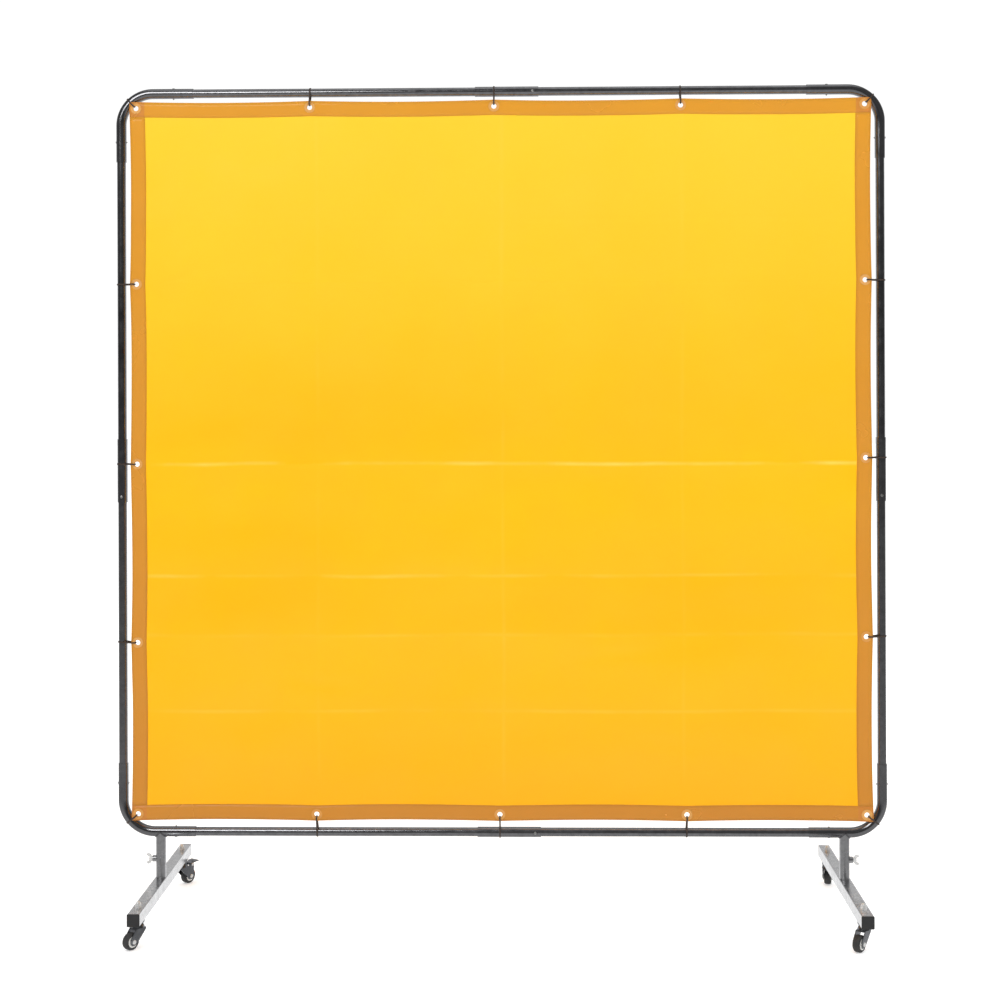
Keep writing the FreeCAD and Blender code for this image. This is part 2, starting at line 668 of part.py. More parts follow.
def brake_pedal(name, placement):
    """Pedal on a barrel between the ears: tread outward, shoe down towards the tyre."""
    body = new_body(name)
    barrel = new_sketch(body, "XZ_Plane", "barrel")
    circle(barrel, "7", "pin_out", "pin_high")
    pad(body, barrel, "pedal_neck", symmetric=True)
    neck = new_sketch(body, "XZ_Plane", "neck")
    outline(neck, (("pin_out", "pin_high + 1"), ("pin_out", "pin_high + 3.3"), ("pin_out + 11", "pin_high + 6"),
                   ("pin_out + 12", "pin_high + 4")))
    pad(body, neck, "pedal_neck", symmetric=True)
    tread = new_sketch(body, "XZ_Plane", "tread")
    outline(tread, (("pin_out + 9", "pin_high + 3.2"), ("pin_out + 9", "pin_high + 5.6"),
                    ("pin_out + 11", "pin_high + 6"), ("pin_out + 22.5", "pin_high + 6.5"),
                    ("pin_out + 24", "pin_high + 5"), ("pin_out + 23", "pin_high + 4.2"),
                    ("pin_out + 12", "pin_high + 4")))
    pad(body, tread, "pedal_wide", symmetric=True)
    shoe = new_sketch(body, "XZ_Plane", "shoe")
    outline(shoe, (("pin_out", "pin_high"), ("pin_out + 3", "pin_high"), ("pin_out + 8.5", "pin_high - 9.3"),
                   ("pin_out + 7", "pin_high - 9.3")))
    pad(body, shoe, "12", symmetric=True)
    doc.recompute()
    drill(body, "XZ_Plane", "pin_hole", "pin_out", "pin_high")
    body.Placement = placement
    return body


stem_places = []
for corner, side, end, heading, has_brake in CASTORS:
    stand = castor_place(side, end, heading)
    stem_places.append(stand)
    castor_fork(f"castor_fork_{corner}", has_brake, stand)
    axle_height = size["wheel_dia"] / 2
    cross_bolt(f"wheel_axle_{corner}", "axle_dia", "10", size["trail"], axle_height, stand)
    axle_line = FreeCAD.Placement(FreeCAD.Vector(size["trail"], 0, axle_height), FreeCAD.Rotation(X_AXIS, -90))
    wheel_hub(f"wheel_hub_{corner}", stand.multiply(axle_line))
    tyre(f"tyre_{corner}", stand.multiply(axle_line))
    if has_brake:
        brake_pedal(f"brake_pedal_{corner}", stand)
        cross_bolt(f"pedal_pin_{corner}", "pin_dia", "7", size["pin_out"], size["pin_high"], stand)

group("castor_stems", castor_stem(), stem_places)
on_bar = FreeCAD.Placement(FreeCAD.Vector(0, 0, size["bar_top"]), FreeCAD.Rotation())
group("dome_nuts", dome_nut(), [stand.multiply(on_bar) for stand in stem_places])


# Curtain --------------------------------------------------------------------------------------

def eyelet_rows():
    """Centres of the eyelets, each with the direction to its tube's centre line and its distance."""
    half_wide = size["curtain_wide"] / 2 - size["eyelet_inset"]
    high = size["curtain_top"] - size["eyelet_inset"]
    low = size["curtain_low"] + size["eyelet_inset"]
    tube_x = size["frame_wide"] / 2
    tube_low = size["frame_low"]
    tube_high = tube_low + size["frame_tall"]
    rows = []
    for along, row_z, tube_z in ((TOP_EYELETS, high, tube_high), (BOTTOM_EYELETS, low, tube_low)):
        for index, x in enumerate(along):
            wraps_sleeve = index == 1
            rows.append((x, row_z, x, tube_z, wraps_sleeve))
    for along, side in ((LEFT_EYELETS, -1), (RIGHT_EYELETS, 1)):
        for index, z in enumerate(along):
            wraps_sleeve = index == 1
            rows.append((side * half_wide, z, side * tube_x, z, wraps_sleeve))
    for side in (-1, 1):
        for row_z, tube_z, inward in ((high, tube_high, -1), (low, tube_low, 1)):
            middle_x = side * (tube_x - size["bend_radius"])
            middle_z = tube_z + inward * size["bend_radius"]
            away = FreeCAD.Vector(side * half_wide - middle_x, 0, row_z - middle_z).normalize()
            reach = away * size["bend_radius"]
            rows.append((side * half_wide, row_z, middle_x + reach.x, middle_z + reach.z, True))
    return rows


EYELETS = eyelet_rows()


def punch(body, wanted):
    """Cut the eyelet holes that wanted() picks through a body that stands in the curtain's plane."""
    holes = new_sketch(body, "XZ_Plane", "holes")
    for x, z, tube_x, tube_z, wraps_socket in EYELETS:
        if wanted(x, z):
            circle(holes, "eyelet_play", str(x), str(z))
    pocket(body, holes)


def hem_strip(name, left, right, low, high, slot, wanted, round_height=None):
    """Strip folded over the panel's edge: a flat bar with the panel's slot in it."""
    body = new_body(name)
    face = new_sketch(body, "XZ_Plane", "face")
    rectangle(face, left, right, low, high)
    bar = pad(body, face, "hem_thick", symmetric=True)
    if round_height:
        round_edges(body, bar, "hem_round", lambda edge: (
            runs_along(edge, Y_AXIS) and abs(edge.CenterOfMass.z - round_height) < 0.01))
        doc.recompute()
    fold = new_sketch(body, "XZ_Plane", "fold")
    rectangle(fold, *slot)
    pocket(body, fold, "curtain_thick")
    punch(body, wanted)
    bind(body, ".Placement.Base.y", "-curtain_fore")
    return body


HALF = "curtain_wide / 2"
INNER_LOW = "curtain_low + hem_wide"
INNER_HIGH = "curtain_top - hem_wide"
PANEL = (f"hem_fold - {HALF}", f"{HALF} - hem_fold", "curtain_low + hem_fold", "curtain_top - hem_fold")
hem_top = size["curtain_top"] - size["hem_wide"]
hem_low = size["curtain_low"] + size["hem_wide"]


def between_hems(z):
    return hem_low < z < hem_top


panel = new_body("curtain_panel")
panel_face = new_sketch(panel, "XZ_Plane", "face")
rectangle(panel_face, *PANEL)
pad(panel, panel_face, "curtain_thick", symmetric=True)
punch(panel, lambda x, z: True)
bind(panel, ".Placement.Base.y", "-curtain_fore")

hem_strip("hem_top", "-" + HALF, HALF, INNER_HIGH, "curtain_top", PANEL, lambda x, z: z > hem_top,
          size["curtain_top"])
hem_strip("hem_bottom", "-" + HALF, HALF, "curtain_low", INNER_LOW, PANEL, lambda x, z: z < hem_low,
          size["curtain_low"])
hem_strip("hem_left", "-" + HALF, "hem_wide - " + HALF, INNER_LOW, INNER_HIGH, PANEL,
          lambda x, z: x < 0 and between_hems(z))
hem_strip("hem_right", HALF + " - hem_wide", HALF, INNER_LOW, INNER_HIGH, PANEL,
          lambda x, z: x > 0 and between_hems(z))


def eyelet():
    """Plastic eyelet along Z: a barrel between two rounded flanges."""
    body = new_body("eyelet", is_node=False)
    bore = "eyelet_hole / 2"
    neck = "eyelet_neck / 2"
    rim = "eyelet_dia / 2"
    hem = "hem_thick / 2"
    face = f"{hem} + eyelet_flange"
    revolve(body, (
        (f"{bore} + 0.5", f"-({face})"), (f"{rim} - 1.2", f"-({face})"), (rim, f"-({hem}) - 0.3"), (rim, f"-({hem})"),
        (neck, f"-({hem})"), (neck, hem), (rim, hem), (rim, f"{hem} + 0.3"), (f"{rim} - 1.2", face),
        (f"{bore} + 0.5", face), (bore, f"{face} - 0.5"), (bore, f"0.5 - ({face})"),
    ))
    return body


facing = FreeCAD.Rotation(X_AXIS, 90)
group("eyelets", eyelet(), [
    FreeCAD.Placement(FreeCAD.Vector(x, -size["curtain_fore"], z), facing) for x, z, *rest in EYELETS])


# Cable ties -----------------------------------------------------------------------------------

def belt(middle_a, radius_a, middle_b, radius_b):
    """Closed wire of a tight belt round two circles in the XY plane."""
    line = middle_b - middle_a
    heading = math.atan2(line.y, line.x)
    spread = math.acos((radius_a - radius_b) / line.Length)

    def point(middle, radius, angle):
        return middle + FreeCAD.Vector(math.cos(angle), math.sin(angle), 0) * radius

    a_up = point(middle_a, radius_a, heading + spread)
    a_far = point(middle_a, radius_a, heading + math.pi)
    a_down = point(middle_a, radius_a, heading - spread)
    b_down = point(middle_b, radius_b, heading - spread)
    b_far = point(middle_b, radius_b, heading)
    b_up = point(middle_b, radius_b, heading + spread)
    edges = [
        Part.Arc(a_up, a_far, a_down).toShape(),
        Part.LineSegment(a_down, b_down).toShape(),
        Part.Arc(b_down, b_far, b_up).toShape(),
        Part.LineSegment(b_up, a_up).toShape(),
    ]
    return Part.Wire(edges)


def cable_tie(distance, wrapped_dia):
    """Tie round a tube centred on the origin and through an eyelet at -X, with its ratchet head behind."""
    thick = size["tie_thick"]
    wide = size["tie_wide"]
    eyelet_bend = 6.0
    is_corner = distance < size["eyelet_dia"]
    slack = 1.1 if is_corner else 2.2
    pull = size["eyelet_hole"] / 2 - slack
    tube_radius = wrapped_dia / 2 + size["tie_play"]
    middle = FreeCAD.Vector(eyelet_bend + pull - distance, -size["curtain_fore"] - size["hem_thick"] / 2, -wide / 2)
    centre = FreeCAD.Vector(0, 0, -wide / 2)
    outside = Part.Face(belt(centre, tube_radius + thick, middle, eyelet_bend + thick))
    inside = Part.Face(belt(centre, tube_radius, middle, eyelet_bend))
    strap = outside.cut(inside).extrude(FreeCAD.Vector(0, 0, wide))
    head_size = FreeCAD.Vector(4.2, 4.6, 5.2)
    head = Part.makeBox(*head_size, FreeCAD.Vector(tube_radius + thick / 2, -head_size.y / 2, -head_size.z / 2))
    head_angle = 52.0
    head.rotate(ORIGIN, Z_AXIS, head_angle)
    return strap.fuse(head).removeSplitter()


ties = []
for x, z, tube_x, tube_z, wraps_socket in EYELETS:
    outward = FreeCAD.Vector(tube_x - x, 0, tube_z - z)
    solid = cable_tie(outward.Length, size["socket_dia" if wraps_socket else "tube_dia"])
    turn = FreeCAD.Rotation(Y_AXIS, math.degrees(math.atan2(-outward.z, outward.x)))
    solid.Placement = FreeCAD.Placement(FreeCAD.Vector(tube_x, 0, tube_z), turn)
    ties.append(solid)
tie_node = doc.addObject("Part::Feature", "cable_ties")
tie_node.Label = "cable_ties"
tie_node.Shape = Part.makeCompound(ties)
nodes.append(tie_node)


# Check and write ------------------------------------------------------------------------------

doc.recompute()
for item in doc.Objects:
    if "Invalid" in item.State or "Error" in item.State:
        raise RuntimeError(f"{item.Label} failed: {item.State}")

os.makedirs("parts", exist_ok=True)
for node in nodes:
    if node.Shape.isNull() or not node.Shape.isValid() or not node.Shape.Solids:
        raise RuntimeError(node.Label + " has no valid solid")
    node.Shape.exportStep(f"parts/{node.Label}.step")
    print(f"{node.Label}: {len(node.Shape.Solids)} solid(s), {node.Shape.Volume / 1000:.2f} cm3")
print(len(nodes), "nodes")
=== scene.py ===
import json
import math

import bmesh
import bpy
from mathutils import Matrix, Vector, noise


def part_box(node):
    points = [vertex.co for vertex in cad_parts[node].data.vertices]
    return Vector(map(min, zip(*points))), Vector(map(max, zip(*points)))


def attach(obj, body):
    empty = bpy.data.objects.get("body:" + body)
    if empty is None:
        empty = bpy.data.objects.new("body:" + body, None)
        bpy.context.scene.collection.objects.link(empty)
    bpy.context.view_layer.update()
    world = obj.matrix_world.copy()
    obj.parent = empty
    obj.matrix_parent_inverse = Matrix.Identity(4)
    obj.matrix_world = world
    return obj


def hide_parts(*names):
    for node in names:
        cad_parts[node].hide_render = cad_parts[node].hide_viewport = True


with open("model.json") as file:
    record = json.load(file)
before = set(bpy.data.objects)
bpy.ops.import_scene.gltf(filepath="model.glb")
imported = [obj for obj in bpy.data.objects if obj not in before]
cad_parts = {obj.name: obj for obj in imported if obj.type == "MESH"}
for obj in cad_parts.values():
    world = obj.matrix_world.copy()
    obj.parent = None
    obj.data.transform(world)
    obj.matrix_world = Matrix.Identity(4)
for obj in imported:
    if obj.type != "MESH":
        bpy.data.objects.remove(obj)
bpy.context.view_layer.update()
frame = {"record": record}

ROOT = "frame"
BODY_NODES = frame["record"]["behaviour"]["bodies"]


# Camera, light and floor ------------------------------------------------------------------------

# The view was found from the screen's own proportions; angles are in radians, lengths in metres.
CAMERA_PLACE = (0.086, -4.221, 1.342)
CAMERA_HEADING = 0.0202
CAMERA_LEAN = -0.0035
LENS_MM = 60.8
SENSOR_MM = 36.0
HORIZON_SHIFT = -0.1218
FAR_CLIP = 60.0

# What metal and vinyl reflect: grey by height, from straight down at 0 to straight up at 1.
ROOM_GREYS = (
    (0.0, 0.50), (0.32, 0.50), (0.44, 0.14), (0.51, 0.03),
    (0.60, 0.14), (0.70, 0.10), (0.92, 0.12), (1.0, 0.8),
)
WHITE_LIGHT = 1.05
BACKDROP_STARTS, BACKDROP_FULL = 0.05, 0.60
BACKDROP_DIMS, BACKDROP_DIMMED, DIMMED_SHARE = 0.05, 0.30, 0.42
FLOOR_HALF = 30.0

# Name, position, target, width, height, watts, seen in reflections.
LIGHTS = (
    ("key", (-2.4, -4.6, 4.2), (0.0, 0.0, 1.1), 3.0, 2.2, 80.0, True),
    ("fill", (3.4, -3.8, 2.6), (0.2, 0.0, 1.0), 2.4, 2.4, 40.0, False),
    ("back", (0.4, 4.2, 3.2), (0.0, 0.0, 1.2), 3.6, 2.6, 60.0, False),
)


def map_range(tree, value, from_low, from_high, to_low, to_high):
    spread = tree.nodes.new("ShaderNodeMapRange")
    spread.inputs["From Min"].default_value = from_low
    spread.inputs["From Max"].default_value = from_high
    spread.inputs["To Min"].default_value = to_low
    spread.inputs["To Max"].default_value = to_high
    tree.links.new(value, spread.inputs["Value"])
    return spread.outputs["Result"]


def combine(tree, operation, first, second=None):
    sums = tree.nodes.new("ShaderNodeMath")
    sums.operation = operation
    tree.links.new(first, sums.inputs[0])
    if second is not None:
        tree.links.new(second, sums.inputs[1])
    return sums.outputs[0]


def grey_ramp(tree, value, stops):
    ramp = tree.nodes.new("ShaderNodeValToRGB")
    elements = ramp.color_ramp.elements
    while len(elements) < len(stops):
        elements.new(1.0)
    for element, (place, grey) in zip(elements, stops):
        element.position = place
        element.color = (grey, grey, grey, 1.0)
    tree.links.new(value, ramp.inputs[0])
    return ramp.outputs["Color"]

def add_camera():
    data = bpy.data.cameras.new("camera")
    data.sensor_width = SENSOR_MM
    data.lens = LENS_MM
    data.shift_y = HORIZON_SHIFT
    data.clip_end = FAR_CLIP
    camera = bpy.data.objects.new("camera", data)
    heading = Matrix.Rotation(CAMERA_HEADING, 4, "Z")
    level = Matrix.Rotation(math.pi / 2, 4, "X")
    lean = Matrix.Rotation(CAMERA_LEAN, 4, "Z")
    camera.matrix_world = Matrix.Translation(CAMERA_PLACE) @ heading @ level @ lean
    bpy.context.scene.collection.objects.link(camera)
    bpy.context.scene.camera = camera


def add_area_light(name, position, target, width, height, power, in_reflections):
    data = bpy.data.lights.new(name, "AREA")
    data.shape = "RECTANGLE"
    data.size = width
    data.size_y = height
    data.energy = power
    light = bpy.data.objects.new(name, data)
    aim = Vector(target) - Vector(position)
    turn = aim.to_track_quat("-Z", "Y").to_matrix().to_4x4()
    light.matrix_world = Matrix.Translation(position) @ turn
    light.visible_transmission = False
    light.visible_glossy = in_reflections
    bpy.context.scene.collection.objects.link(light)


def add_world():
    """Even white light, and for reflections a dark room with a pale floor and a white backdrop behind."""
    world = bpy.data.worlds.new("studio")
    world.use_nodes = True
    bpy.context.scene.world = world
    tree = world.node_tree
    tree.nodes.clear()
    output = tree.nodes.new("ShaderNodeOutputWorld")
    white = tree.nodes.new("ShaderNodeBackground")
    white.inputs["Color"].default_value = (1.0, 1.0, 1.0, 1.0)
    white.inputs["Strength"].default_value = WHITE_LIGHT
    studio = tree.nodes.new("ShaderNodeBackground")
    direction = tree.nodes.new("ShaderNodeTexCoord")
    split = tree.nodes.new("ShaderNodeSeparateXYZ")
    path = tree.nodes.new("ShaderNodeLightPath")
    choose = tree.nodes.new("ShaderNodeMixShader")
    link = tree.links.new
    link(direction.outputs["Generated"], split.inputs[0])
    room = grey_ramp(tree, map_range(tree, split.outputs["Z"], -1.0, 1.0, 0.0, 1.0), ROOM_GREYS)
    backdrop = map_range(tree, split.outputs["Y"], BACKDROP_STARTS, BACKDROP_FULL, 0.0, 1.0)
    dimmed = map_range(tree, split.outputs["Z"], BACKDROP_DIMS, BACKDROP_DIMMED, 1.0, DIMMED_SHARE)
    behind = combine(tree, "MULTIPLY", backdrop, dimmed)
    link(combine(tree, "MAXIMUM", room, behind), studio.inputs["Color"])
    link(path.outputs["Is Glossy Ray"], choose.inputs["Fac"])
    link(white.outputs[0], choose.inputs[1])
    link(studio.outputs[0], choose.inputs[2])
    link(choose.outputs[0], output.inputs["Surface"])


def add_floor():
    mesh = bpy.data.meshes.new("floor")
    builder = bmesh.new()
    bmesh.ops.create_grid(builder, x_segments=2, y_segments=2, size=FLOOR_HALF)
    builder.to_mesh(mesh)
    builder.free()
    floor = bpy.data.objects.new("floor", mesh)
    bpy.context.scene.collection.objects.link(floor)
    paint = Paint("pale_floor", (0.95, 0.95, 0.95), roughness=0.6)
    paint.set("Specular IOR Level", 0.0)
    paint.set("Emission Color", (1.0, 1.0, 1.0, 1.0))
    paint.set("Emission Strength", 0.26)
    paint.vary_roughness(scale=3.0, low=0.55, high=0.7)
    floor.data.materials.append(paint.material)
    floor.visible_glossy = False


# Materials --------------------------------------------------------------------------------------

class Paint:
    """Principled material with procedural variation in object coordinates, in metres."""

    def __init__(self, name, color, roughness=0.4, metallic=0.0, **numbers):
        self.material = bpy.data.materials.new(name)
        self.material.use_nodes = True
        self.tree = self.material.node_tree
        self.shader = self.tree.nodes["Principled BSDF"]
        self.place = self.tree.nodes.new("ShaderNodeTexCoord")
        self.color = color
        self.set("Base Color", (*color, 1.0))
        self.set("Roughness", roughness)
        self.set("Metallic", metallic)
        for words, value in numbers.items():
            self.set(words.replace("_", " ").title().replace("Ior", "IOR"), value)

    def set(self, socket, value):
        self.shader.inputs[socket].default_value = value

    def link(self, source, target):
        self.tree.links.new(source, target)

    def texture(self, kind, scale, stretch):
        mapping = self.tree.nodes.new("ShaderNodeMapping")
        mapping.inputs["Scale"].default_value = stretch
        self.link(self.place.outputs["Object"], mapping.inputs["Vector"])
        texture = self.tree.nodes.new(kind)
        texture.inputs["Scale"].default_value = scale
        self.link(mapping.outputs[0], texture.inputs["Vector"])
        return texture

    def noise(self, scale, detail=3.0, stretch=(1, 1, 1)):
        texture = self.texture("ShaderNodeTexNoise", scale, stretch)
        texture.inputs["Detail"].default_value = detail
        return texture.outputs["Fac"]

    def cells(self, scale):
        return self.texture("ShaderNodeTexVoronoi", scale, (1, 1, 1)).outputs["Distance"]

    def along(self, axis, wobble=0.0):
        """One object coordinate, in metres, moved to and fro a little by noise."""
        split = self.tree.nodes.new("ShaderNodeSeparateXYZ")
        self.link(self.place.outputs["Object"], split.inputs[0])
        if not wobble:
            return split.outputs[axis]
        return self.combine("ADD", split.outputs[axis], self.remap(self.noise(2.2), -wobble, wobble))

    def combine(self, operation, first, second=None):
        return combine(self.tree, operation, first, second)

    def stripes(self, value, low, high, centres, half):
        """Thin lines where value is at one of the centres, given as (share, strength), and 0 between."""
        stops = [(0.0, 0.0)]
        for share, strength in sorted(centres):
            stops += [(share - half, 0.0), (share, abs(strength)), (share + half, 0.0)]
        return grey_ramp(self.tree, self.remap(value, 0.0, 1.0, low, high), stops)

    def remap(self, value, low, high, from_low=0.3, from_high=0.7):
        return map_range(self.tree, value, from_low, from_high, low, high)

    def vary_color(self, value, other, most=1.0, from_low=0.3, from_high=0.7):
        """Blend from the base colour towards another where value is high."""
        mix = self.tree.nodes.new("ShaderNodeMix")
        mix.data_type = "RGBA"
        base = self.shader.inputs["Base Color"]
        if base.links:
            self.link(base.links[0].from_socket, mix.inputs[6])
        else:
            mix.inputs[6].default_value = (*self.color, 1.0)
        mix.inputs[7].default_value = (*other, 1.0)
        self.link(self.remap(value, 0.0, most, from_low, from_high), mix.inputs["Factor"])
        self.link(mix.outputs[2], base)

    def vary_roughness(self, scale, low, high):
        rough = self.remap(self.noise(scale), low, high)
        self.link(rough, self.shader.inputs["Roughness"])

    def bump(self, value, distance, strength=1.0):
        bump = self.tree.nodes.new("ShaderNodeBump")
        bump.inputs["Distance"].default_value = distance
        bump.inputs["Strength"].default_value = strength
        normal = self.shader.inputs["Normal"]
        if normal.links:
            self.link(normal.links[0].from_socket, bump.inputs["Normal"])
        self.link(value, bump.inputs["Height"])
        self.link(bump.outputs[0], normal)


def wear_edges(paint, bright):
    """Rubbed edges, brighter than the faces."""
    geometry = paint.tree.nodes.new("ShaderNodeNewGeometry")
    mark_strength = paint.remap(geometry.outputs["Pointiness"], 0.0, 1.0, 0.52, 0.60)
    paint.vary_color(paint.combine("MULTIPLY", mark_strength, paint.noise(90.0)), bright, 0.8)


def zinc(name, color, roughness, drawn, spangle=0.25, metallic=1.0):
    """Plated steel: cloudy plating, fine drawn lines along one axis, small scratches."""
    paint = Paint(name, color, roughness, metallic)
    lighter = tuple(min(1.0, part * 1.35) for part in color)
    darker = tuple(part * 0.7 for part in color)
    paint.vary_color(paint.noise(14.0, 4.0), darker, 0.5)
    paint.vary_color(paint.cells(260.0), lighter, spangle)
    paint.vary_roughness(40.0, roughness * 0.75, roughness * 1.4)
    paint.bump(paint.noise(60.0, 5.0, drawn), 0.00012, 0.5)
    paint.bump(paint.noise(700.0, 2.0), 0.00004, 0.4)
    wear_edges(paint, lighter)
    return paint


def plastic(name, color, roughness, grain=900.0):
    paint = Paint(name, color, roughness)
    paint.vary_color(paint.noise(30.0), tuple(part * 1.6 + 0.01 for part in color), 0.35)
    paint.vary_roughness(120.0, roughness * 0.85, roughness * 1.2)
    paint.bump(paint.noise(grain, 2.0), 0.00008, 0.5)
    return paint.material


def rubber():
    paint = Paint("tyre_rubber", (0.020, 0.020, 0.022), 0.55)
    paint.vary_color(paint.noise(60.0, 6.0), (0.060, 0.058, 0.054), 0.6)
    paint.vary_roughness(90.0, 0.5, 0.78)
    paint.bump(paint.noise(1200.0, 4.0), 0.00012, 0.6)
    return paint.material


def vinyl(name, color, deeper, clear, roughness=0.14):
    """Tinted clear vinyl: light comes through it, with a glossy skin, faint calender waves and dust."""
    paint = Paint(name, color, roughness, transmission_weight=clear, ior=1.2, coat_weight=0.3,
                  coat_roughness=0.06)
    paint.vary_color(paint.noise(1.6, 3.0), deeper, 0.45)
    paint.vary_color(paint.noise(5.0, 6.0, (1.0, 1.0, 2.2)), deeper, 0.25)
    paint.vary_roughness(7.0, roughness * 0.7, roughness * 1.7)
    paint.bump(paint.noise(9.0, 2.0, (0.5, 1.0, 1.6)), 0.0016, 0.5)
    paint.bump(paint.noise(420.0, 3.0), 0.00003, 0.3)
    return paint


def finish_cad_nodes():
    """Give every CAD node that stays in view its material."""
    along_x = (1.0, 14.0, 14.0)
    along_y = (14.0, 1.0, 14.0)
    along_z = (14.0, 14.0, 1.0)
    dark = (0.27, 0.27, 0.28)
    level_tube = zinc("tube_zinc_level", dark, 0.17, along_x).material
    upright_tube = zinc("tube_zinc_upright", dark, 0.17, along_z).material
    bent_tube = zinc("tube_zinc_bent", dark, 0.15, (5.0, 5.0, 5.0)).material
    post_zinc = zinc("post_zinc", (0.50, 0.50, 0.51), 0.30, along_z).material
    foot_zinc = zinc("foot_bright_zinc", (0.62, 0.62, 0.63), 0.22, along_y, 0.35).material
    screw_zinc = zinc("screw_zinc", (0.58, 0.58, 0.56), 0.30, (4.0, 4.0, 4.0)).material
    wing_zinc = zinc("wing_zinc", (0.76, 0.76, 0.75), 0.36, (3.0, 3.0, 3.0), metallic=0.4).material
    castor_zinc = zinc("castor_blue_zinc", (0.22, 0.225, 0.24), 0.28, (5.0, 5.0, 5.0)).material
    nickel = zinc("bright_nickel", (0.78, 0.78, 0.77), 0.26, (4.0, 4.0, 4.0), 0.1, metallic=0.5).material
    black_plug = plastic("plug_plastic", (0.018, 0.018, 0.019), 0.42)
    pale_hub = plastic("hub_nylon", (0.70, 0.70, 0.68), 0.35)
    nylon = plastic("tie_nylon", (0.035, 0.022, 0.016), 0.38, 500.0)
    eyelet_clear = vinyl("eyelet_clear_plastic", (0.62, 0.27, 0.055), (0.80, 0.48, 0.18),
                         0.22, 0.12).material
    tyre = rubber()
    choice = (
        ("corner_tube", bent_tube), ("top_", level_tube), ("bottom_", level_tube),
        ("left_", upright_tube), ("right_", upright_tube), ("post_", post_zinc),
        ("foot_bar", foot_zinc), ("foot_stub", foot_zinc),
        ("foot_end_plugs", black_plug), ("corner_screws", screw_zinc), ("sleeve_screws", screw_zinc),
        ("wing_bolt", wing_zinc), ("castor_", castor_zinc), ("brake_pedal", castor_zinc),
        ("wheel_axle", nickel), ("pedal_pin", nickel), ("dome_nuts", nickel), ("wheel_hub", pale_hub),
        ("tyre", tyre), ("eyelets", eyelet_clear), ("cable_ties", nylon),
    )
    for nodes in BODY_NODES.values():
        for node in nodes:
            for start, material in choice:
                if node.startswith(start):
                    assign(node, material)
                    break


def assign(node, material):
    thing = bpy.data.objects[node]
    if not thing.material_slots:
        thing.data.materials.append(material)
    for slot in thing.material_slots:
        slot.material = material


# Curtain and welds ------------------------------------------------------------------------------

PANEL_LOW, PANEL_HIGH = (Vector(corner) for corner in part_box("curtain_panel"))
TOP_LOW, TOP_HIGH = (Vector(corner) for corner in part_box("hem_top"))
BOTTOM_LOW, BOTTOM_HIGH = (Vector(corner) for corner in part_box("hem_bottom"))
PLANE = (PANEL_LOW.y + PANEL_HIGH.y) / 2
WIDE = TOP_HIGH.x - TOP_LOW.x
TALL = TOP_HIGH.z - BOTTOM_LOW.z
LEFT, RIGHT = TOP_LOW.x, TOP_HIGH.x
LOW, HIGH = BOTTOM_LOW.z, TOP_HIGH.z
HEM = TOP_HIGH.z - TOP_LOW.z
HEM_THICK = TOP_HIGH.y - TOP_LOW.y

# Packing creases: share of the curtain's height or width, and how sharp each one is. The sign says
# which way it bends.
LEVEL_CREASES = (
    (0.834, -0.35), (0.748, 0.55), (0.496, -1.0), (0.340, 0.5), (0.257, -0.45), (0.153, 0.4),
)
UPRIGHT_CREASES = ((0.253, 0.25), (0.504, -0.2), (0.747, 0.25))
# Short handling wrinkles: both ends as shares of the curtain's width and height, and their bow and depth.
WRINKLES = (
    ((0.032, 0.742), (0.102, 0.812), 0.012, 0.0040), ((0.045, 0.748), (0.108, 0.800), 0.020, -0.0030),
    ((0.104, 0.795), (0.116, 0.845), -0.006, 0.0030), ((0.520, 0.815), (0.545, 0.842), 0.004, 0.0018),
    ((0.180, 0.205), (0.330, 0.185), 0.010, 0.0030), ((0.560, 0.215), (0.760, 0.235), -0.012, 0.0030),
    ((0.640, 0.120), (0.820, 0.105), 0.010, 0.0026),
)
CREASE_DEPTH = 0.0065
CREASE_REACH = 0.055
CREASE_SOFT = 0.0022
CREASE_AT_RIM = 0.35
WRINKLE_REACH = 0.010
SLOW_WAVE = 0.010
QUICK_WAVE = 0.0022
RIM_WAVE = 0.0022
LOOSER_LOW_DOWN = 1.3
DRAWN_IN = 0.0035
DRAWN_REACH = 0.16
GRID_OFFSETS = (-0.007, -0.004, -0.002, 0.0, 0.002, 0.004, 0.007)
GRID_NARROWEST = 0.0012
PANEL_THICK = 0.0010
PANEL_STEP = 0.013
HEM_STEP = 0.0095
# The hems are drawn this much thinner than in the CAD, so their faces stay inside the eyelets' flanges.
HEM_THINNER = 0.0002
PUNCH_RADIUS = 0.00752
BEAD_RIPPLES = 44
BEAD_SIDES = 10
BEAD_RADIUS = 0.0019
BEAD_PROUD = 0.0004


def eyelet_centres():
    """Centres of the separate eyelets in the CAD node, found from its loose parts."""
    mesh = bpy.data.objects["eyelets"].data
    builder = bmesh.new()
    builder.from_mesh(mesh)
    bmesh.ops.remove_doubles(builder, verts=builder.verts, dist=1e-6)
    builder.verts.ensure_lookup_table()
    seen = set()
    centres = []
    for vertex in builder.verts:
        if vertex.index in seen:
            continue
        island = []
        waiting = [vertex]
        seen.add(vertex.index)
        while waiting:
            here = waiting.pop()
            island.append(here.co.copy())
            for edge in here.link_edges:
                other = edge.other_vert(here)
                if other.index not in seen:
                    seen.add(other.index)
                    waiting.append(other)
        xs = [point.x for point in island]
        zs = [point.z for point in island]
        centres.append(((min(xs) + max(xs)) / 2, (min(zs) + max(zs)) / 2))
    builder.free()
    return centres


EYELETS = eyelet_centres()


def smooth(value, low, high):
    share = min(1.0, max(0.0, (value - low) / (high - low)))
    return share * share * (3 - 2 * share)


def crease(distance):
    soft = math.sqrt(distance * distance + CREASE_SOFT * CREASE_SOFT)
    return math.exp(-soft / CREASE_REACH)


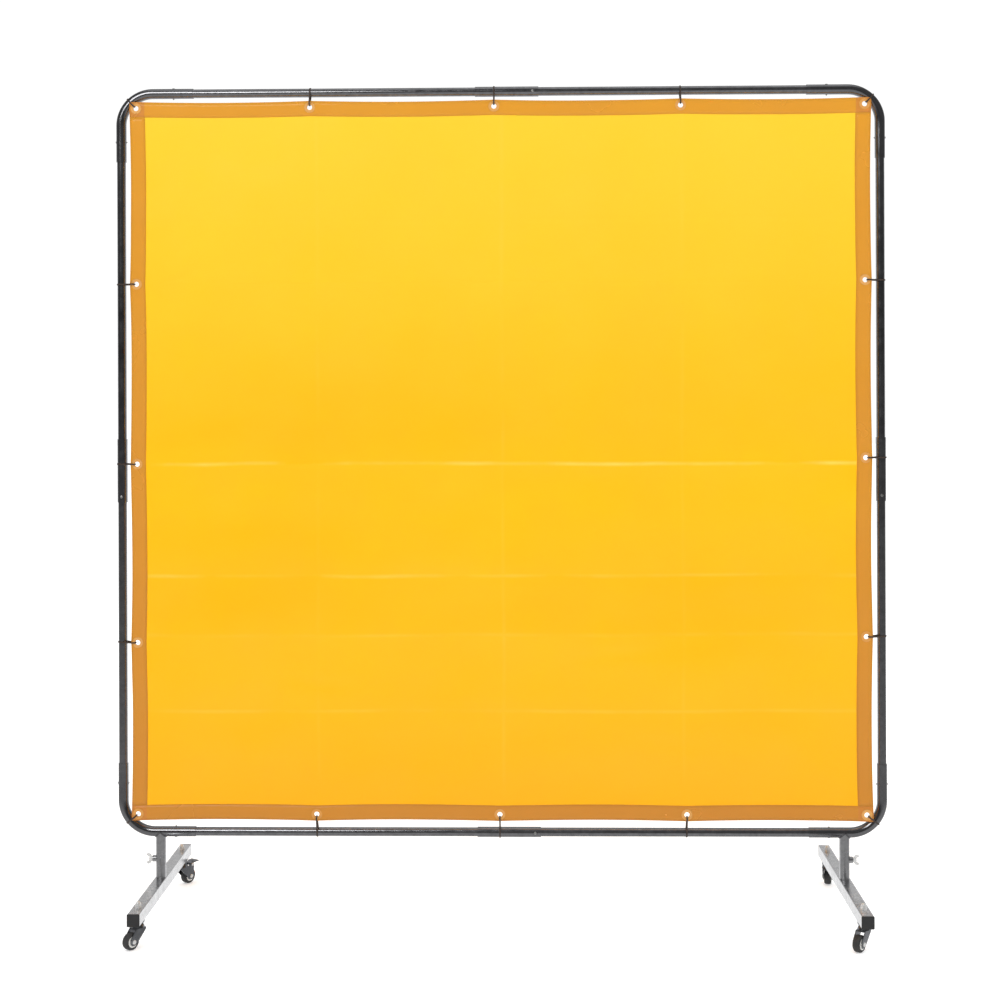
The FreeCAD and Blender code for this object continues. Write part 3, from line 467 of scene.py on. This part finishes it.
def wrinkle(x, z, start, end, bow, depth):
    """A short bowed fold that fades out at its ends."""
    ax, az = LEFT + start[0] * WIDE, LOW + start[1] * TALL
    run_x, run_z = (end[0] - start[0]) * WIDE, (end[1] - start[1]) * TALL
    length = math.hypot(run_x, run_z)
    share = ((x - ax) * run_x + (z - az) * run_z) / (length * length)
    if not 0.0 < share < 1.0:
        return 0.0
    off = ((x - ax) * run_z - (z - az) * run_x) / length - bow * 4 * share * (1 - share)
    return depth * (4 * share * (1 - share)) ** 1.5 * math.exp(-abs(off) / WRINKLE_REACH)


def slack(along, stations):
    """0 at the eyelets and 1 half way between them."""
    for before, after in zip(stations, stations[1:]):
        if before <= along <= after:
            share = (along - before) / (after - before)
            return 4 * share * (1 - share)
    return 0.0


def stations(axis, side):
    """Places of the eyelets along one edge of the curtain."""
    other = 1 - axis
    edge = side(centre[other] for centre in EYELETS)
    return sorted(centre[axis] for centre in EYELETS if abs(centre[other] - edge) < 0.02)


TOP_STATIONS = stations(0, max)
BOTTOM_STATIONS = stations(0, min)
LEFT_STATIONS = stations(1, min)
RIGHT_STATIONS = stations(1, max)


def drape(x, z):
    """Where a point of the flat curtain hangs: edges drawn in between ties, creases and slow waves."""
    edge = min(x - LEFT, RIGHT - x, z - LOW, HIGH - z)
    nearest = min(math.hypot(x - cx, z - cz) for cx, cz in EYELETS)
    free = smooth(nearest, 0.018, 0.09)
    inner = smooth(edge, 0.02, 0.30)
    ridges = sum(share * crease(z - LOW - place * TALL) for place, share in LEVEL_CREASES)
    ridges += sum(share * crease(x - LEFT - place * WIDE) for place, share in UPRIGHT_CREASES)
    folds = sum(wrinkle(x, z, *shape) for shape in WRINKLES)
    low_down = 1.0 + LOOSER_LOW_DOWN * smooth(HIGH - z, 0.9, 1.5)
    slow = noise.noise(Vector((x * 1.2, 0.3, z * 1.9))) * SLOW_WAVE * low_down
    quick = noise.noise(Vector((x * 3.4, 4.1, z * 8.5))) * QUICK_WAVE * low_down
    rim = noise.noise(Vector((x * 6.0, 8.2, z * 6.0))) * RIM_WAVE
    ridges *= (CREASE_AT_RIM + (1.0 - CREASE_AT_RIM) * inner) * CREASE_DEPTH
    depth = free * (inner * (slow + quick) + ridges + folds + (1 - inner) * rim)
    across = slack(z, LEFT_STATIONS) * smooth(LEFT + DRAWN_REACH - x, 0.0, DRAWN_REACH)
    across -= slack(z, RIGHT_STATIONS) * smooth(x - RIGHT + DRAWN_REACH, 0.0, DRAWN_REACH)
    up = slack(x, BOTTOM_STATIONS) * smooth(LOW + DRAWN_REACH - z, 0.0, DRAWN_REACH)
    up -= slack(x, TOP_STATIONS) * smooth(z - HIGH + DRAWN_REACH, 0.0, DRAWN_REACH)
    return Vector((x + DRAWN_IN * across, PLANE + depth, z + DRAWN_IN * up))


def lines(low, high, step, creases, start, length):
    """Grid lines from low to high, closer together round each crease."""
    count = max(1, round((high - low) / step))
    places = [low + (high - low) * index / count for index in range(count + 1)]
    for share, _ in creases:
        for offset in GRID_OFFSETS:
            place = start + share * length + offset
            if low + 0.001 < place < high - 0.001:
                places.append(place)
    places.sort()
    kept = [places[0]]
    for place in places[1:-1]:
        if place - kept[-1] > GRID_NARROWEST and high - place > GRID_NARROWEST:
            kept.append(place)
    kept.append(high)
    return kept


def skin(builder, xs, zs, offset, flip):
    rows = []
    for z in zs:
        row = []
        for x in xs:
            point = drape(x, z)
            row.append(builder.verts.new((point.x, point.y + offset, point.z)))
        rows.append(row)
    for below, above in zip(rows, rows[1:]):
        for index in range(len(xs) - 1):
            corners = [below[index], below[index + 1], above[index + 1], above[index]]
            builder.faces.new(reversed(corners) if flip else corners)
    return rows


def rim_of(rows):
    """The outer ring of a grid of vertices, in order."""
    ring = list(rows[0])
    ring += [row[-1] for row in rows[1:]]
    ring += list(reversed(rows[-1][:-1]))
    ring += [row[0] for row in reversed(rows[1:-1])]
    return ring


def cloth_slab(builder, left, right, low, high, thick, step):
    """Closed slab of vinyl that follows the drape."""
    xs = lines(left, right, step, UPRIGHT_CREASES, LEFT, WIDE)
    zs = lines(low, high, step, LEVEL_CREASES, LOW, TALL)
    front = skin(builder, xs, zs, -thick / 2, False)
    back = skin(builder, xs, zs, thick / 2, True)
    front_ring = rim_of(front)
    back_ring = rim_of(back)
    count = len(front_ring)
    for index in range(count):
        following = (index + 1) % count
        builder.faces.new((front_ring[following], front_ring[index],
                           back_ring[index], back_ring[following]))


def new_piece(name, builder, material, body):
    mesh = bpy.data.meshes.new(name)
    bmesh.ops.recalc_face_normals(builder, faces=builder.faces)
    for face in builder.faces:
        face.smooth = True
    builder.to_mesh(mesh)
    builder.free()
    piece = bpy.data.objects.new(name, mesh)
    bpy.context.scene.collection.objects.link(piece)
    mesh.materials.append(material)
    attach(piece, body)
    return piece


def punch(piece):
    """Cut the eyelets' holes through a piece."""
    builder = bmesh.new()
    radius = PUNCH_RADIUS
    for x, z in EYELETS:
        turn = Matrix.Translation((x, PLANE, z)) @ Matrix.Rotation(math.pi / 2, 4, "X")
        bmesh.ops.create_cone(builder, cap_ends=True, segments=40, radius1=radius, radius2=radius,
                              depth=0.06, matrix=turn)
    mesh = bpy.data.meshes.new("punch")
    builder.to_mesh(mesh)
    builder.free()
    tool = bpy.data.objects.new("punch", mesh)
    bpy.context.scene.collection.objects.link(tool)
    cut = piece.modifiers.new("holes", "BOOLEAN")
    cut.operation = "DIFFERENCE"
    cut.solver = "EXACT"
    cut.object = tool
    apply_modifiers(piece)
    bpy.data.objects.remove(tool)
    bpy.data.meshes.remove(mesh)


def apply_modifiers(piece):
    graph = bpy.context.evaluated_depsgraph_get()
    made = bpy.data.meshes.new_from_object(piece.evaluated_get(graph))
    piece.modifiers.clear()
    piece.data = made


def panel_paint():
    """Amber vinyl with painted light and shade: paler towards the top and darker towards the bottom,
    where the room lights the sheet unevenly. Pale lines on the packing creases are partly the vinyl's own
    stress whitening and partly painted highlight.
    """
    paint = vinyl("curtain_vinyl", (1.0, 0.55, 0.011), (1.0, 0.48, 0.008), 0.45)
    half_way, past_top = LOW + 0.5 * TALL, HIGH + 0.05 * TALL
    # Painted light: the upper half is painted paler, as if more lit, and the lower part is painted darker
    # as shade.
    paint.vary_color(paint.along("Z", 0.05), (1.0, 0.69, 0.046), 1.0, half_way, past_top)
    paint.vary_color(paint.along("Z", 0.05), (0.95, 0.455, 0.012), 1.0, LOW + 0.45 * TALL, LOW)
    # Pale crease lines: painted highlight, partly also the vinyl's stress whitening, patchy along their
    # length.
    thin = 0.0016
    level = paint.stripes(paint.along("Z", 0.003), LOW, HIGH, LEVEL_CREASES, thin)
    upright = paint.stripes(paint.along("X", 0.003), LEFT, RIGHT, UPRIGHT_CREASES, thin)
    mark_strength = paint.remap(paint.noise(5.0, 6.0), 0.0, 0.75, 0.38, 0.68)
    crease_whitening_and_highlight = paint.combine("MULTIPLY", paint.combine("MAXIMUM", level, upright), mark_strength)
    paint.vary_color(crease_whitening_and_highlight, (1.0, 0.80, 0.20), 0.75, 0.0, 1.0)
    return paint


def hem_paint():
    """Doubled vinyl, browner, painted darker towards the bottom as shade like the panel, with pinker
    squares where the strips cross at the corners.
    """
    paint = vinyl("hem_vinyl", (0.76, 0.355, 0.030), (0.68, 0.285, 0.036), 0.30, 0.18)
    # Painted shade: darker towards the bottom, like the panel.
    paint.vary_color(paint.along("Z"), (0.56, 0.23, 0.042), 0.7, HIGH, LOW)
    half = WIDE / 2
    reach = paint.along("X")
    outward = paint.combine("ABSOLUTE", reach)
    blur = 0.0005
    beside = paint.remap(outward, 0.0, 1.0, half - HEM - blur, half - HEM + blur)
    up = paint.along("Z")
    above = paint.remap(up, 0.0, 1.0, HIGH - HEM - blur, HIGH - HEM + blur)
    below = paint.remap(up, 0.0, 1.0, LOW + HEM + blur, LOW + HEM - blur)
    square = paint.combine("MULTIPLY", beside, paint.combine("MAXIMUM", above, below))
    paint.vary_color(square, (0.62, 0.24, 0.050), 0.8, 0.0, 1.0)
    return paint


def make_curtain():
    panel_vinyl = panel_paint().material
    hem_vinyl = hem_paint().material
    builder = bmesh.new()
    cloth_slab(builder, PANEL_LOW.x, PANEL_HIGH.x, PANEL_LOW.z, PANEL_HIGH.z, PANEL_THICK, PANEL_STEP)
    panel = new_piece("vinyl_curtain", builder, panel_vinyl, ROOT)
    punch(panel)
    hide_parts("curtain_panel")

    strips = (
        ("hem_top", LEFT, RIGHT, HIGH - HEM, HIGH),
        ("hem_bottom", LEFT, RIGHT, LOW, LOW + HEM),
        ("hem_left", LEFT, LEFT + HEM, LOW + HEM, HIGH - HEM),
        ("hem_right", RIGHT - HEM, RIGHT, LOW + HEM, HIGH - HEM),
    )
    for node, left, right, low, high in strips:
        builder = bmesh.new()
        cloth_slab(builder, left, right, low, high, HEM_THICK - HEM_THINNER, HEM_STEP)
        hem = new_piece("vinyl_" + node, builder, hem_vinyl, ROOT)
        punch(hem)
        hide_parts(node)


def bead_ring(builder, centre, across, radius):
    """One cross-section of a weld bead, round centre and facing along the seam."""
    ring = []
    for index in range(BEAD_SIDES):
        around = 2 * math.pi * index / BEAD_SIDES
        offset = across * math.cos(around) + Vector((0.0, 0.0, math.sin(around)))
        ring.append(builder.verts.new(centre + offset * radius))
    return ring


def make_weld_beads():
    """Rippled bead round each post, where it's welded under the bottom corner tube."""
    grey = zinc("weld_bead", (0.26, 0.26, 0.27), 0.38, (5.0, 5.0, 5.0)).material
    tube_low, tube_high = (Vector(corner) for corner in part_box("corner_tube_bottom_left"))
    radius = (tube_high.y - tube_low.y) / 2
    centre_y = (tube_high.y + tube_low.y) / 2
    tube_middle = tube_low.z + radius
    for side in ("left", "right"):
        low, high = (Vector(corner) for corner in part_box("post_" + side))
        centre_x = (low.x + high.x) / 2
        steps = BEAD_RIPPLES * 4
        builder = bmesh.new()
        rings = []
        for step in range(steps):
            turn = 2 * math.pi * step / steps
            across = Vector((math.cos(turn), math.sin(turn), 0.0))
            drop = math.sqrt(max(0.0, radius ** 2 - (radius * across.y) ** 2))
            seam = Vector((centre_x, centre_y, tube_middle - drop)) + across * (radius + BEAD_PROUD)
            bulge = 0.78 + 0.22 * abs(math.sin(BEAD_RIPPLES * turn / 2))
            bulge *= 1.0 + 0.18 * noise.noise(Vector((step * 0.23, 1.7, centre_x)))
            rings.append(bead_ring(builder, seam, across, BEAD_RADIUS * bulge))
        for step in range(steps):
            here, after = rings[step], rings[(step + 1) % steps]
            for index in range(BEAD_SIDES):
                onward = (index + 1) % BEAD_SIDES
                builder.faces.new((here[index], here[onward], after[onward], after[index]))
        new_piece("weld_bead_" + side, builder, grey, ROOT)


add_camera()
add_world()
add_floor()
for light in LIGHTS:
    add_area_light(*light)
bpy.context.scene.view_settings.view_transform = "Standard"
finish_cad_nodes()
make_curtain()
make_weld_beads()
